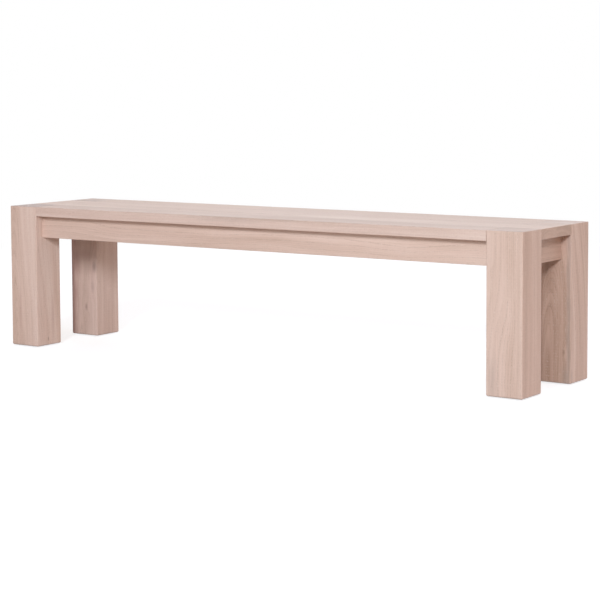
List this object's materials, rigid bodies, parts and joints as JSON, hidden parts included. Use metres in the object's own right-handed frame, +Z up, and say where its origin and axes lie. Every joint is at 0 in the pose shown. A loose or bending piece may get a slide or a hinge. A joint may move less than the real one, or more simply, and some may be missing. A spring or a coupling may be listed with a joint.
{
  "type": "bench",
  "caption": "Long low backless bench: thick square legs flush with the corners of a boarded seat, over a recessed apron frame, in pale limed oak.",
  "frame": {"origin": "on the floor under the centre of the bench", "axes": "+X along the bench's length, +Y from its front to its back, +Z up"},
  "size_m": [1.85, 0.4, 0.453],
  "materials": {
    "seat_oak": "limed oak, matt oil",
    "leg_oak": "limed oak, matt oil",
    "apron_oak": "limed oak, matt oil",
    "frame_wood": "bare sawn oak",
    "fastener_steel": "zinc plated",
    "glide_plastic": "matt nylon"
  },
  "bodies": {
    "root": {"apron_back": "apron_oak", "apron_front": "apron_oak", "apron_left": "apron_oak", "apron_right": "apron_oak", "button_screws": "fastener_steel", "cross_rail_1": "frame_wood", "cross_rail_2": "frame_wood", "cross_rail_3": "frame_wood", "foot_glide_back_left": "glide_plastic", "foot_glide_back_right": "glide_plastic", "foot_glide_front_left": "glide_plastic", "foot_glide_front_right": "glide_plastic", "glide_nails": "fastener_steel", "glue_block_back_left": "frame_wood", "glue_block_back_right": "frame_wood", "glue_block_front_left": "frame_wood", "glue_block_front_right": "frame_wood", "leg_back_left": "leg_oak", "leg_back_right": "leg_oak", "leg_front_left": "leg_oak", "leg_front_right": "leg_oak", "rail_screws": "fastener_steel", "seat_board_back": "seat_oak", "seat_board_front": "seat_oak", "seat_board_inner_1": "seat_oak", "seat_board_inner_2": "seat_oak", "seat_button_back_1": "frame_wood", "seat_button_back_2": "frame_wood", "seat_button_back_3": "frame_wood", "seat_button_back_4": "frame_wood", "seat_button_front_1": "frame_wood", "seat_button_front_2": "frame_wood", "seat_button_front_3": "frame_wood", "seat_button_front_4": "frame_wood", "seat_button_left_1": "frame_wood", "seat_button_left_2": "frame_wood", "seat_button_right_1": "frame_wood", "seat_button_right_2": "frame_wood"}
  },
  "joints": []
}
